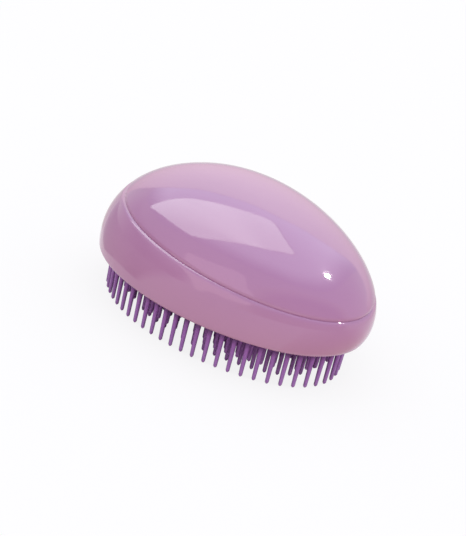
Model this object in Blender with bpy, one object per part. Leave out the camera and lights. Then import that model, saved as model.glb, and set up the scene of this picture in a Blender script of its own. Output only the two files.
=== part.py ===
# Egg-shaped detangling hair comb: a snap-fit cover, a lower shell, a bristle pad and what clamps it.
# Lengths are in metres. The origin is under the middle of the body, on the tips of the long bristles.
# +X runs to the egg's pointed end and +Z is up.

import math

import bmesh
import bpy
from mathutils import Matrix, Vector
from mathutils.geometry import delaunay_2d_cdt

# The egg that both shells share, cut flat underneath
EGG_LENGTH = 0.105
EGG_HALF_WIDTH = 0.039
EGG_HALF_HEIGHT = 0.0289
EGG_AXIS_HEIGHT = 0.0056
EGG_TILT = math.radians(3.05)
PLAN_TAPER_SHARE = 0.117
PROFILE_TAPER_SHARE = 0.192
SECTION_POWER = 2.1

# How far the long bristles reach below the body
BRISTLE_REACH = 0.0128

# The seam, which drops towards the pointed end
SEAM_HEIGHT = 0.0169
SEAM_SLOPE = 0.079
SEAM_GAP = 0.00045

# Clearance that is left between any two pieces
FIT_GAP = 0.00035

# Top cover
COVER_WALL = 0.0022
COVER_RIM_WALL = 0.0014
COVER_EDGE_RADIUS = 0.0008

# Lower shell
LIP_RADIUS = 0.0006
CORNER_RADIUS = 0.0015
TONGUE_WALL = 0.00095
TONGUE_HEIGHT = 0.0032
BEAD_RISE = 0.0005
BEAD_WIDTH = 0.0012
RECESS_RIM = 0.0024
LEDGE_HEIGHT = 0.003
LEDGE_THICKNESS = 0.0016
LEDGE_REACH = 0.0036

# Bristle pad
PAD_RECESS = 0.0006
PAD_EDGE_CHAMFER = 0.0005
FIRST_RING_INSET = 0.005
RING_PITCH = 0.0037
STRAND_PITCH = 0.0041
STRAND_ROOT_WIDTH = 0.0015
STRAND_TIP_WIDTH = 0.0011
SHORT_STRAND_DROP = 0.004

# Screws, and the bosses of the pad that they bite into
SCREW_BEARING = math.radians(32)
SCREW_SETBACK = 0.014
SCREW_RADIUS = 0.0011
SCREW_POINT = 0.001
SCREW_HEAD_RADIUS = 0.0022
SCREW_HEAD_HEIGHT = 0.0014
CROSS_WIDTH = 0.0006
CROSS_LENGTH = 0.0026
CROSS_DEPTH = 0.0008
BOSS_RADIUS = 0.003
PILOT_FLOOR = 0.0007

# Pad retainer
RETAINER_THICKNESS = 0.0018
RETAINER_FLANGE_SETBACK = 0.0035
RETAINER_FLANGE_WALL = 0.0016
RETAINER_RIB_HEIGHT = 0.003
RETAINER_RIB_WALL = 0.0016
RETAINER_RIB_SPACING = 0.019
RETAINER_RIB_SETBACK = 0.0005
SCREW_SEAT_RADIUS = 0.0036
SCREW_SEAT_HEIGHT = 0.0008

# How far a cutter runs past what it cuts
OVERRUN = 0.001

# Facets
SEGMENTS = 48
DOME_RINGS = 11
INNER_DOME_RINGS = 8
WALL_RINGS = 5
INNER_WALL_RINGS = 5
ROUND_STEPS = 3
BOSS_SIDES = 16
SCREW_SIDES = 12
BISECTION_STEPS = 34
NORMAL_STEP = 0.00005
SHARP_EDGE_ANGLE = math.radians(35)

BODY_BOTTOM = BRISTLE_REACH
EGG_FRAME = Matrix.Translation((0, 0, BODY_BOTTOM + EGG_AXIS_HEIGHT)) @ Matrix.Rotation(-EGG_TILT, 4, "Y")
TO_EGG = EGG_FRAME.inverted()
SHELL_WALL = COVER_RIM_WALL + FIT_GAP + TONGUE_WALL
SEAM_PLANE = BODY_BOTTOM + SEAM_HEIGHT
LEDGE_TOP = BODY_BOTTOM + LEDGE_HEIGHT + LEDGE_THICKNESS
DIRECTIONS = [
    (math.cos(math.tau * step / SEGMENTS), math.sin(math.tau * step / SEGMENTS))
    for step in range(SEGMENTS)
]


def clear_scene():
    for obj in list(bpy.data.objects):
        bpy.data.objects.remove(obj, do_unlink=True)


def make_material(name, colour, roughness, coat=0.0):
    material = bpy.data.materials.new(name)
    material.use_nodes = True
    shader = material.node_tree.nodes["Principled BSDF"]
    shader.inputs["Base Color"].default_value = (*colour, 1.0)
    shader.inputs["Roughness"].default_value = roughness
    shader.inputs["Metallic"].default_value = 0.0
    shader.inputs["Coat Weight"].default_value = coat
    material.diffuse_color = (*colour, 1.0)
    return material


def make_object(name, bm, material, parent, location=(0, 0, 0)):
    bmesh.ops.recalc_face_normals(bm, faces=bm.faces)
    mesh = bpy.data.meshes.new(name)
    bm.to_mesh(mesh)
    bm.free()
    mesh.shade_smooth()
    mesh.set_sharp_from_angle(angle=SHARP_EDGE_ANGLE)
    obj = bpy.data.objects.new(name, mesh)
    bpy.context.scene.collection.objects.link(obj)
    obj.parent = parent
    obj.location = location
    if material:
        obj.data.materials.append(material)
    return obj


# The egg's radius at a place along it, which runs from -1 at the blunt end to 1 at the pointed end
def egg_radius(along, half_size, taper):
    widest = (1 - math.sqrt(1 + 8 * taper**2)) / (4 * taper)
    largest = math.sqrt(1 - widest**2) * (1 - taper * widest)
    return half_size * math.sqrt(1 - along**2) * (1 - taper * along) / largest


# A point's level in the egg, whose skin is drawn in by the inset: under 1 inside and 1 on the skin
def egg_level(point, inset):
    local = TO_EGG @ point
    along = local.x / (EGG_LENGTH / 2 - inset)
    if abs(along) >= 1:
        return abs(along) + 1
    half_width = egg_radius(along, EGG_HALF_WIDTH - inset, PLAN_TAPER_SHARE)
    half_height = egg_radius(along, EGG_HALF_HEIGHT - inset, PROFILE_TAPER_SHARE)
    sideways = abs(local.y) / half_width
    upright = abs(local.z) / half_height
    return sideways**SECTION_POWER + upright**SECTION_POWER


# Where a ray from inside the egg meets its skin
def skin_point(start, direction, inset=0):
    near, far = 0.0, EGG_LENGTH
    for _ in range(BISECTION_STEPS):
        middle = (near + far) / 2
        if egg_level(start + direction * middle, inset) < 1:
            near = middle
        else:
            far = middle
    return start + direction * near


# The direction square to the skin, outwards, from how the level grows along each axis
def skin_normal(point):
    steps = [Vector((NORMAL_STEP, 0, 0)), Vector((0, NORMAL_STEP, 0)), Vector((0, 0, NORMAL_STEP))]
    return Vector([egg_level(point + step, 0) - egg_level(point - step, 0) for step in steps]).normalized()


# The loop in which a plane cuts the egg: the plane drops by the slope towards the pointed end
def plane_ring(height, slope, inset):
    centre = Vector((0, 0, height))
    return [skin_point(centre, Vector((c, s, -slope * c)), inset) for c, s in DIRECTIONS]


# A loop beside the seam: a distance up the skin from it, and an inset square to the skin
def seam_ring(distance, inset):
    ring = []
    for point, (c, s) in zip(plane_ring(SEAM_PLANE, SEAM_SLOPE, 0), DIRECTIONS):
        steepness = math.sqrt(1 - skin_normal(point).z ** 2)
        centre = Vector((0, 0, point.z + distance * steepness))
        on_skin = skin_point(centre, Vector((c, s, 0)))
        ring.append(on_skin - skin_normal(on_skin) * inset)
    return ring


# Loops of the egg between two others, evenly spaced in height at each direction
def rings_between(first, last, count, inset):
    rings = []
    for step in range(1, count):
        ring = []
        for low, high, (c, s) in zip(first, last, DIRECTIONS):
            centre = Vector((0, 0, low.z + (high.z - low.z) * step / count))
            ring.append(skin_point(centre, Vector((c, s, 0)), inset))
        rings.append(ring)
    return rings


# The same loop drawn in by the inset at its ends and sides, and laid flat at a height
def drawn_in(ring, inset, height):
    half_length = (max(p.x for p in ring) - min(p.x for p in ring)) / 2
    half_width = max(p.y for p in ring)
    along = 1 - inset / half_length
    across = 1 - inset / half_width
    return [Vector((p.x * along, p.y * across, height)) for p in ring]


# A quarter round between a wall and a face: shares of the radius, as height and inset
def quarter_round(steps):
    angles = [math.pi / 2 * step / steps for step in range(steps + 1)]
    return [(math.sin(angle), 1 - math.cos(angle)) for angle in angles]


# Rings over a dome, from its first ring up to the one below the pole, and the pole
def dome_rings(first, count, inset):
    up = Vector((0, 0, 1))
    middle_height = sum(p.z for p in first) / len(first)
    rings = []
    for step in range(1, count):
        share = math.cos(math.pi / 2 * step / count)
        starts = [Vector((p.x, p.y, p.z - middle_height)) * share for p in first]
        rings.append([skin_point(start + up * middle_height, up, inset) for start in starts])
    return rings, skin_point(up * middle_height, up, inset)


def add_ring(bm, ring):
    return [bm.verts.new(point) for point in ring]


def join_rings(bm, lower, upper):
    count = len(lower)
    for step in range(count):
        after = (step + 1) % count
        bm.faces.new((lower[step], lower[after], upper[after], upper[step]))


def close_to_pole(bm, ring, pole):
    tip = bm.verts.new(pole)
    for step in range(len(ring)):
        bm.faces.new((ring[step], ring[(step + 1) % len(ring)], tip))


# Triangles over a flat outline, left open at each hole
def fill_between(bm, outline, holes):
    loops = [outline, *holes]
    verts = [vert for loop in loops for vert in loop]
    flat = [vert.co.xy for vert in verts]
    faces = []
    for loop in loops:
        start = sum(len(face) for face in faces)
        faces.append(list(range(start, start + len(loop))))
    inside_outline = 1
    filled = delaunay_2d_cdt(flat, [], faces, inside_outline, 0)
    for triangle, sources in zip(filled[2], filled[5]):
        if sources == [0]:
            bm.faces.new([verts[filled[3][corner][0]] for corner in triangle])


def circle(radius, sides, x, y, height):
    angles = [math.tau * (step + 0.5) / sides for step in range(sides)]
    return [Vector((x + radius * math.cos(a), y + radius * math.sin(a), height)) for a in angles]


# The screws stand in from the body's outline, two towards each end
def screw_places():
    places = []
    for bearing in (SCREW_BEARING, math.pi - SCREW_BEARING, math.pi + SCREW_BEARING, -SCREW_BEARING):
        outward = Vector((math.cos(bearing), math.sin(bearing), 0))
        on_outline = skin_point(Vector((0, 0, LEDGE_TOP)), outward)
        places.append((on_outline - outward * SCREW_SETBACK).xy)
    return places


def add_cutter(name, bm, target, operation, parent):
    cutter = make_object(name, bm, None, parent)
    cutter.hide_render = True
    cutter.display_type = "WIRE"
    modifier = target.modifiers.new(name, "BOOLEAN")
    modifier.object = cutter
    modifier.operation = operation
    modifier.solver = "EXACT"
    return cutter


def add_box(bm, centre, size):
    bmesh.ops.create_cube(bm, size=1, matrix=Matrix.Translation(centre) @ Matrix.Diagonal((*size, 1)))


def add_post(bm, radius, sides, x, y, bottom, top):
    low = add_ring(bm, circle(radius, sides, x, y, bottom))
    high = add_ring(bm, circle(radius, sides, x, y, top))
    join_rings(bm, low, high)
    bm.faces.new(reversed(low))
    bm.faces.new(high)


# Top cover: a dome with a rounded lower edge, stepped inside to sit over the tongue
def build_cover(material, parent):
    rings = []
    for up, inward in reversed(quarter_round(ROUND_STEPS)):
        rings.append(seam_ring(SEAM_GAP + COVER_EDGE_RADIUS * (1 - up), COVER_EDGE_RADIUS * inward))
    outer, outer_pole = dome_rings(rings[-1], DOME_RINGS, 0)
    rings += outer

    step_distance = TONGUE_HEIGHT + FIT_GAP
    inner_rings = [seam_ring(SEAM_GAP, COVER_RIM_WALL)]
    inner_rings += bead_rings(COVER_RIM_WALL)
    inner_rings.append(seam_ring(step_distance, COVER_RIM_WALL))
    inner_rings.append(seam_ring(step_distance, COVER_WALL))
    inner, inner_pole = dome_rings(inner_rings[-1], INNER_DOME_RINGS, COVER_WALL)
    inner_rings += inner

    bm = bmesh.new()
    outer_loops = [add_ring(bm, ring) for ring in rings]
    inner_loops = [add_ring(bm, ring) for ring in inner_rings]
    for loops in (outer_loops, inner_loops):
        for lower, upper in zip(loops, loops[1:]):
            join_rings(bm, lower, upper)
    join_rings(bm, outer_loops[0], inner_loops[0])
    close_to_pole(bm, outer_loops[-1], outer_pole)
    close_to_pole(bm, inner_loops[-1], inner_pole)
    return make_object("top_cover", bm, material, parent)


# The snap bead half way up the tongue, or the groove that it springs into
def bead_rings(wall_inset):
    middle = (SEAM_GAP + TONGUE_HEIGHT) / 2
    return [
        seam_ring(middle - BEAD_WIDTH / 2, wall_inset),
        seam_ring(middle, wall_inset - BEAD_RISE),
        seam_ring(middle + BEAD_WIDTH / 2, wall_inset),
    ]


# Lower shell: the band under the seam, with its lip, tongue, ledge and the recess that takes the pad
def build_lower_shell(material, parent):
    outline = plane_ring(BODY_BOTTOM, 0, 0)
    tongue_inset = COVER_RIM_WALL + FIT_GAP
    rings = []
    for up, inward in reversed(quarter_round(ROUND_STEPS)):
        height = BODY_BOTTOM + CORNER_RADIUS * (1 - up)
        rings.append(plane_ring(height, 0, CORNER_RADIUS * inward))
    rings += rings_between(rings[-1], seam_ring(-LIP_RADIUS, 0), WALL_RINGS, 0)
    for up, inward in quarter_round(ROUND_STEPS):
        rings.append(seam_ring(LIP_RADIUS * (up - 1), LIP_RADIUS * inward))
    rings.append(seam_ring(0, tongue_inset))
    rings += bead_rings(tongue_inset)
    rings.append(seam_ring(TONGUE_HEIGHT, tongue_inset))
    rings.append(seam_ring(TONGUE_HEIGHT, SHELL_WALL))
    ledge_start = plane_ring(LEDGE_TOP, 0, SHELL_WALL)
    rings += rings_between(rings[-1], ledge_start, INNER_WALL_RINGS, SHELL_WALL)
    rings.append(ledge_start)
    ledge_inset = RECESS_RIM + LEDGE_REACH
    rings.append(drawn_in(outline, ledge_inset, LEDGE_TOP))
    rings.append(drawn_in(outline, ledge_inset, LEDGE_TOP - LEDGE_THICKNESS))
    rings.append(drawn_in(outline, RECESS_RIM, LEDGE_TOP - LEDGE_THICKNESS))
    rings.append(drawn_in(outline, RECESS_RIM, BODY_BOTTOM))

    bm = bmesh.new()
    loops = [add_ring(bm, ring) for ring in rings]
    for lower, upper in zip(loops, loops[1:] + loops[:1]):
        join_rings(bm, lower, upper)
    return make_object("lower_shell", bm, material, parent)


# Points evenly spaced along a closed loop, each with the loop's direction there
def spaced_points(loop, count, phase):
    ends = loop[1:] + loop[:1]
    lengths = [(b - a).length for a, b in zip(loop, ends)]
    total = sum(lengths)
    points = []
    for index in range(count):
        distance = total * ((index + phase) / count)
        step = 0
        while distance > lengths[step]:
            distance -= lengths[step]
            step += 1
        along = (ends[step] - loop[step]).normalized()
        points.append((loop[step] + along * distance, along))
    return points


# The bristles stand in rings drawn in from the body's outline. Two rings share a count,
# so that the short bristles of the inner one stand between the long ones of the outer.
def strand_places(outline, height):
    half_width = max(p.y for p in outline)
    places = []
    count = 0
    ring_index = 0
    inset = FIRST_RING_INSET
    while inset < half_width - STRAND_PITCH / 2:
        loop = drawn_in(outline, inset, height)
        is_short = ring_index % 2 == 1
        if not is_short:
            around = sum((b - a).length for a, b in zip(loop, loop[1:] + loop[:1]))
            count = round(around / STRAND_PITCH)
        for point, along in spaced_points(loop, count, 0.5 if is_short else 0):
            places.append((point, along, is_short))
        inset += RING_PITCH
        ring_index += 1
    return places


def square(centre, along, width, height):
    across = Vector((-along.y, along.x, 0))
    corners = ((1, 1), (-1, 1), (-1, -1), (1, -1))
    middle = Vector((centre.x, centre.y, height))
    return [middle + (along * a + across * b) * width / 2 for a, b in corners]


# Bristle pad: one moulding of a plate, its bristles below and its screw bosses above
def build_pad(material, parent):
    outline = plane_ring(BODY_BOTTOM, 0, 0)
    face = BODY_BOTTOM + PAD_RECESS
    back = BODY_BOTTOM + LEDGE_HEIGHT - FIT_GAP
    edge_inset = RECESS_RIM + FIT_GAP
    boss_top = LEDGE_TOP
    bm = bmesh.new()
    face_loop = add_ring(bm, drawn_in(outline, edge_inset + PAD_EDGE_CHAMFER, face))
    chamfer_loop = add_ring(bm, drawn_in(outline, edge_inset, face + PAD_EDGE_CHAMFER))
    back_loop = add_ring(bm, drawn_in(outline, edge_inset, back))
    join_rings(bm, face_loop, chamfer_loop)
    join_rings(bm, chamfer_loop, back_loop)

    roots = []
    for centre, along, is_short in strand_places(outline, face):
        root = add_ring(bm, square(centre, along, STRAND_ROOT_WIDTH, face))
        tip_height = SHORT_STRAND_DROP if is_short else 0
        tip = add_ring(bm, square(centre, along, STRAND_TIP_WIDTH, tip_height))
        join_rings(bm, tip, root)
        bm.faces.new(tip)
        roots.append(root)
    fill_between(bm, face_loop, roots)

    pilot_radius = SCREW_RADIUS + FIT_GAP
    feet = []
    for x, y in screw_places():
        foot = add_ring(bm, circle(BOSS_RADIUS, BOSS_SIDES, x, y, back))
        rim = add_ring(bm, circle(BOSS_RADIUS, BOSS_SIDES, x, y, boss_top))
        mouth = add_ring(bm, circle(pilot_radius, BOSS_SIDES, x, y, boss_top))
        floor = add_ring(bm, circle(pilot_radius, BOSS_SIDES, x, y, face + PILOT_FLOOR))
        join_rings(bm, foot, rim)
        join_rings(bm, rim, mouth)
        join_rings(bm, mouth, floor)
        bm.faces.new(floor)
        feet.append(foot)
    fill_between(bm, back_loop, feet)
    return make_object("bristle_pad", bm, material, parent)


# Pad retainer: a plate on the ledge, stiffened by a flange and ribs, with a raised seat for each screw
def build_retainer(material, parent):
    bottom = LEDGE_TOP + FIT_GAP
    top = bottom + RETAINER_THICKNESS
    rib_top = top + RETAINER_RIB_HEIGHT
    edge_inset = SHELL_WALL + FIT_GAP
    low = plane_ring(bottom, 0, edge_inset)
    high = plane_ring(top, 0, edge_inset)
    flange_inner = RETAINER_FLANGE_SETBACK + RETAINER_FLANGE_WALL
    rings = [
        low,
        high,
        drawn_in(high, RETAINER_FLANGE_SETBACK, top),
        drawn_in(high, RETAINER_FLANGE_SETBACK, rib_top),
        drawn_in(high, flange_inner, rib_top),
        drawn_in(high, flange_inner, top),
    ]
    bm = bmesh.new()
    loops = [add_ring(bm, ring) for ring in rings]
    for lower, upper in zip(loops, loops[1:]):
        join_rings(bm, lower, upper)
    bm.faces.new(reversed(loops[0]))
    bm.faces.new(loops[-1])
    retainer = make_object("pad_retainer", bm, material, parent)

    # The ribs reach into the flange and start inside the plate, so that all of it is one moulding
    inside_plate = top - RETAINER_THICKNESS / 2
    reach = drawn_in(high, RETAINER_FLANGE_SETBACK + RETAINER_FLANGE_WALL / 2, top)
    blunt_end, pointed_end = min(p.x for p in reach), max(p.x for p in reach)
    rib_height = rib_top - RETAINER_RIB_SETBACK - inside_plate
    rib_middle = inside_plate + rib_height / 2
    long_rib = bmesh.new()
    long_rib_size = (pointed_end - blunt_end, RETAINER_RIB_WALL, rib_height)
    add_box(long_rib, ((blunt_end + pointed_end) / 2, 0, rib_middle), long_rib_size)
    add_cutter("retainer_long_rib", long_rib, retainer, "UNION", parent)
    for number, x in enumerate((-RETAINER_RIB_SPACING, 0, RETAINER_RIB_SPACING), 1):
        half_width = min(p.y for p in reach if p.y > 0 and abs(p.x - x) < RETAINER_RIB_SPACING / 2)
        cross_rib = bmesh.new()
        add_box(cross_rib, (x, 0, rib_middle), (RETAINER_RIB_WALL, half_width * 2, rib_height))
        add_cutter(f"retainer_cross_rib_{number}", cross_rib, retainer, "UNION", parent)

    for number, (x, y) in enumerate(screw_places(), 1):
        seat = bmesh.new()
        add_post(seat, SCREW_SEAT_RADIUS, BOSS_SIDES, x, y, inside_plate, top + SCREW_SEAT_HEIGHT)
        add_cutter(f"retainer_seat_{number}", seat, retainer, "UNION", parent)
    for number, (x, y) in enumerate(screw_places(), 1):
        hole = bmesh.new()
        hole_top = top + SCREW_SEAT_HEIGHT + OVERRUN
        add_post(hole, SCREW_RADIUS + FIT_GAP, BOSS_SIDES, x, y, bottom - OVERRUN, hole_top)
        add_cutter(f"retainer_hole_{number}", hole, retainer, "DIFFERENCE", parent)
    return retainer


# Self-tapping screw: a pointed shank and a domed head with a cross recess, its origin under the head
def build_screws(material, parent):
    head_seat = LEDGE_TOP + FIT_GAP + RETAINER_THICKNESS + SCREW_SEAT_HEIGHT + FIT_GAP
    shank_end = BODY_BOTTOM + PAD_RECESS + PILOT_FLOOR + FIT_GAP - head_seat
    profile = [(SCREW_RADIUS, shank_end + SCREW_POINT), (SCREW_RADIUS, 0)]
    for up, inward in quarter_round(ROUND_STEPS)[:-1]:
        profile.append((SCREW_HEAD_RADIUS * (1 - inward), SCREW_HEAD_HEIGHT * up))
    for number, (x, y) in enumerate(screw_places(), 1):
        bm = bmesh.new()
        loops = [add_ring(bm, circle(radius, SCREW_SIDES, 0, 0, height)) for radius, height in profile]
        for lower, upper in zip(loops, loops[1:]):
            join_rings(bm, lower, upper)
        close_to_pole(bm, loops[0], Vector((0, 0, shank_end)))
        close_to_pole(bm, loops[-1], Vector((0, 0, SCREW_HEAD_HEIGHT)))
        screw = make_object(f"screw_{number}", bm, material, parent, (x, y, head_seat))
        slot_height = CROSS_DEPTH + OVERRUN
        middle = SCREW_HEAD_HEIGHT - CROSS_DEPTH + slot_height / 2
        for index, size in enumerate(((CROSS_LENGTH, CROSS_WIDTH), (CROSS_WIDTH, CROSS_LENGTH)), 1):
            slot = bmesh.new()
            add_box(slot, (0, 0, middle), (*size, slot_height))
            cutter = add_cutter(f"screw_{number}_slot_{index}", slot, screw, "DIFFERENCE", parent)
            cutter.location = screw.location


def main():
    clear_scene()
    comb = bpy.data.objects.new("egg_comb", None)
    bpy.context.scene.collection.objects.link(comb)
    shell_plastic = make_material("lilac_gloss_plastic", (0.45, 0.22, 0.42), 0.14, 0.5)
    bristle_plastic = make_material("violet_satin_plastic", (0.2, 0.08, 0.3), 0.35)
    inner_plastic = make_material("grey_moulded_plastic", (0.55, 0.5, 0.56), 0.5)
    screw_steel = make_material("zinc_plated_steel", (0.6, 0.6, 0.6), 0.3)
    screw_steel.node_tree.nodes["Principled BSDF"].inputs["Metallic"].default_value = 1.0
    build_cover(shell_plastic, comb)
    build_lower_shell(shell_plastic, comb)
    build_pad(bristle_plastic, comb)
    build_retainer(inner_plastic, comb)
    build_screws(screw_steel, comb)


main()
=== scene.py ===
import math

import bpy
import numpy as np
from mathutils import Matrix, Vector
from mathutils.geometry import delaunay_2d_cdt


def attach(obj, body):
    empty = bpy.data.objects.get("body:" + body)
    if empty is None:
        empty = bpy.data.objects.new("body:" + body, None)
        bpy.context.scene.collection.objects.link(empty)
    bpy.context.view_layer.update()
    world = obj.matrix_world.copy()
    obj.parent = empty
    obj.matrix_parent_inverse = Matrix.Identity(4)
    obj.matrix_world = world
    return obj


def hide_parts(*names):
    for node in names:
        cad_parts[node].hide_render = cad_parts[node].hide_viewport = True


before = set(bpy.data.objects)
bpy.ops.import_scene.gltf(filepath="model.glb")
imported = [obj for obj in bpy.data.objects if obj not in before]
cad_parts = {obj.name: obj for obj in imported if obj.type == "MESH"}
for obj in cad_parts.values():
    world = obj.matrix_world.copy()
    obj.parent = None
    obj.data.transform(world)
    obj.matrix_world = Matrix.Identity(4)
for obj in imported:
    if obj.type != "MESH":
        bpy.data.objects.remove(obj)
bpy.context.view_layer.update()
print("frame:", len(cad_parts), "nodes")


# colours and node helpers
def screenColour(red, green, blue):
    # from 0-255 on screen to the linear values that shaders take
    linear = [c / 255 / 12.92 if c <= 10 else ((c / 255 + 0.055) / 1.055) ** 2.4 for c in (red, green, blue)]
    return (*linear, 1.0)


def fill(tree, node, inputs):
    # for each input, by name or number, a socket is linked and a plain value is written in
    for label, value in inputs.items():
        if isinstance(value, bpy.types.NodeSocket):
            tree.links.new(value, node.inputs[label])
        else:
            node.inputs[label].default_value = value


def addNode(tree, kind, inputs=None, **settings):
    node = tree.nodes.new(kind)
    for name, value in settings.items():
        setattr(node, name, value)
    fill(tree, node, inputs or {})
    return node


def doMath(tree, operation, *values):
    return addNode(tree, "ShaderNodeMath", dict(enumerate(values)), operation=operation).outputs[0]


def restOf(tree, share):
    # what a share leaves of one
    return doMath(tree, "SUBTRACT", 1.0, share)


def isSame(tree, count, wanted):
    # 1 where two whole numbers are the same
    margin = 0.1
    return doMath(tree, "COMPARE", count, wanted, margin)


def vectorOf(tree, x=0.0, y=0.0, z=0.0):
    return addNode(tree, "ShaderNodeCombineXYZ", {"X": x, "Y": y, "Z": z}).outputs[0]


def mapped(tree, value, limits=(0.0, 1.0), results=(0.0, 1.0), kind="LINEAR"):
    inputs = {"Value": value, "From Min": limits[0], "From Max": limits[1]}
    inputs.update({"To Min": results[0], "To Max": results[1]})
    return addNode(tree, "ShaderNodeMapRange", inputs, interpolation_type=kind).outputs["Result"]


def objectPlace(tree):
    return addNode(tree, "ShaderNodeTexCoord").outputs["Object"]


def noiseAt(tree, place, scale, detail):
    inputs = {"Vector": place, "Scale": scale, "Detail": detail}
    return addNode(tree, "ShaderNodeTexNoise", inputs).outputs["Fac"]


def colourRamp(tree, share, stops):
    # the colours of the stops, and an even change between them
    ramp = addNode(tree, "ShaderNodeValToRGB", {"Fac": share})
    elements = ramp.color_ramp.elements
    elements.remove(elements[0])
    elements[0].position, elements[0].color = stops[0]
    for position, colour in stops[1:]:
        elements.new(position).color = colour
    return ramp.outputs["Color"]


# the egg that both shells share
eggForm = {
    "halfLength": 0.0525,
    "halfWidth": 0.039,
    "halfHeight": 0.0289,
    "axisHeight": 0.0056,  # above the flat underside
    "tilt": math.radians(3.05),  # the pointed end is the higher one
    "planTaper": 0.117,
    "profileTaper": 0.192,
    "sectionPower": 2.1,
    "seamHeight": 0.0169,
    "seamSlope": 0.079,
    "seamGap": 0.00002,
    "seamTurn": math.radians(45),  # how far both shells round over before they meet
    "around": 256,
    "halvings": 40,  # how often the search for the skin halves its span
}
bristleReach = 0.0128
bodyBottom = bristleReach
seamPlane = bodyBottom + eggForm["seamHeight"]
eggLift = Matrix.Translation((0, 0, bodyBottom + eggForm["axisHeight"]))
eggPlace = eggLift @ Matrix.Rotation(-eggForm["tilt"], 4, "Y")
toEgg = np.array(eggPlace.inverted())
bearings = np.arange(eggForm["around"]) * math.tau / eggForm["around"]
outward = np.stack([np.cos(bearings), np.sin(bearings), np.zeros_like(bearings)], axis=1)
upward = np.array([0.0, 0.0, 1.0])


def eggRadius(along, halfSize, taper):
    widest = (1 - math.sqrt(1 + 8 * taper**2)) / (4 * taper)
    largest = math.sqrt(1 - widest**2) * (1 - taper * widest)
    return halfSize * np.sqrt(1 - along**2) * (1 - taper * along) / largest


def inEgg(points):
    # the same points along the egg's own axes
    return points @ toEgg[:3, :3].T + toEgg[:3, 3]


def eggLevel(points, inset=0.0):
    # under 1 inside the egg and 1 on its skin, which the inset draws in
    local = inEgg(points)
    along = local[:, 0] / (eggForm["halfLength"] - inset)
    nearPole, outside = 0.99999, 2.0
    safe = np.clip(along, -nearPole, nearPole)
    width = eggRadius(safe, eggForm["halfWidth"] - inset, eggForm["planTaper"])
    height = eggRadius(safe, eggForm["halfHeight"] - inset, eggForm["profileTaper"])
    power = eggForm["sectionPower"]
    level = np.abs(local[:, 1] / width) ** power + np.abs(local[:, 2] / height) ** power
    return np.where(np.abs(along) < 1, level, outside)


def skinPoints(starts, directions, inset=0.0):
    # where rays from inside the egg meet its skin
    near = np.zeros(len(starts))
    far = np.full(len(starts), eggForm["halfLength"] * 2)
    for _ in range(eggForm["halvings"]):
        middle = (near + far) / 2
        inside = eggLevel(starts + directions * middle[:, None], inset) < 1
        near = np.where(inside, middle, near)
        far = np.where(inside, far, middle)
    return starts + directions * near[:, None]


def skinNormals(points):
    step = 2e-6
    grown = [eggLevel(points + axis * step) - eggLevel(points - axis * step) for axis in np.eye(3)]
    normals = np.stack(grown, axis=1)
    return normals / np.linalg.norm(normals, axis=1)[:, None]


def planeRing(height, slope=0.0, inset=0.0):
    starts = np.tile([0.0, 0.0, height], (len(outward), 1))
    directions = outward - upward * slope * outward[:, :1]
    return skinPoints(starts, directions, inset)


def seamRing(distance, inset):
    # a distance up the skin from the seam, and an inset square to the skin
    seam = planeRing(seamPlane, eggForm["seamSlope"])
    steepness = np.sqrt(1 - skinNormals(seam)[:, 2] ** 2)
    onSkin = levelPoints(seam[:, 2] + distance * steepness)
    return onSkin - skinNormals(onSkin) * inset


def levelPoints(heights, inset=0.0):
    # one skin point per bearing, each at its own height
    return skinPoints(heights[:, None] * upward, outward, inset)


def ringsBetween(first, last, count, inset=0.0):
    shares = [step / count for step in range(1, count)]
    return [levelPoints(first[:, 2] * (1 - share) + last[:, 2] * share, inset) for share in shares]


def drawnIn(ring, inset, height):
    halfSpan = np.array([np.ptp(ring[:, 0]) / 2, np.ptp(ring[:, 1]) / 2])
    inner = np.empty_like(ring)
    inner[:, :2] = ring[:, :2] * (1 - inset / halfSpan)
    inner[:, 2] = height
    return inner


def roundedEdge(steps, turn=math.pi / 2):
    # shares of a rounding's height and inset, from a wall up, through a quarter turn or less
    angles = np.linspace(0, turn, steps + 1)
    return list(zip(np.sin(angles) / math.sin(turn), (1 - np.cos(angles)) / (1 - math.cos(turn))))


# meshes from rings
sharpAngles = {"shell": 40, "bristle": 75}  # degrees past which an edge stays sharp


def smoothed(mesh, finish, sharpAngle=sharpAngles["shell"]):
    mesh.materials.clear()
    mesh.materials.append(finish)
    mesh.shade_smooth()
    mesh.set_sharp_from_angle(angle=math.radians(sharpAngle))


def meshPiece(name, points, faces, finish):
    mesh = bpy.data.meshes.new(name)
    mesh.from_pydata([tuple(p) for p in points], [], faces)
    smoothed(mesh, finish)
    piece = bpy.data.objects.new(name, mesh)
    bpy.context.scene.collection.objects.link(piece)
    return piece


def ringBands(ringCount, around, start=0, closed=False):
    # quads between each ring and the next, facing outwards when the rings climb
    faces = []
    for ring in range(ringCount if closed else ringCount - 1):
        low = start + ring * around
        high = start + (ring + 1) % ringCount * around
        for step in range(around):
            after = (step + 1) % around
            faces.append((low + step, low + after, high + after, high + step))
    return faces


def poleFan(lastRingStart, around, pole):
    return [(lastRingStart + step, lastRingStart + (step + 1) % around, pole) for step in range(around)]


def newTree(name, seedName, sizes, counts):
    # an empty tree whose inputs are the sizes and counts of a dictionary, by name
    tree = bpy.data.node_groups.new(name, "GeometryNodeTree")
    tree.interface.new_socket(seedName, in_out="INPUT", socket_type="NodeSocketGeometry")
    for values, kind in ((sizes, "NodeSocketFloat"), (counts, "NodeSocketInt")):
        for label, value in values.items():
            tree.interface.new_socket(label, in_out="INPUT", socket_type=kind).default_value = value
    tree.interface.new_socket("Result", in_out="OUTPUT", socket_type="NodeSocketGeometry")
    return tree, addNode(tree, "NodeGroupInput").outputs


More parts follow.
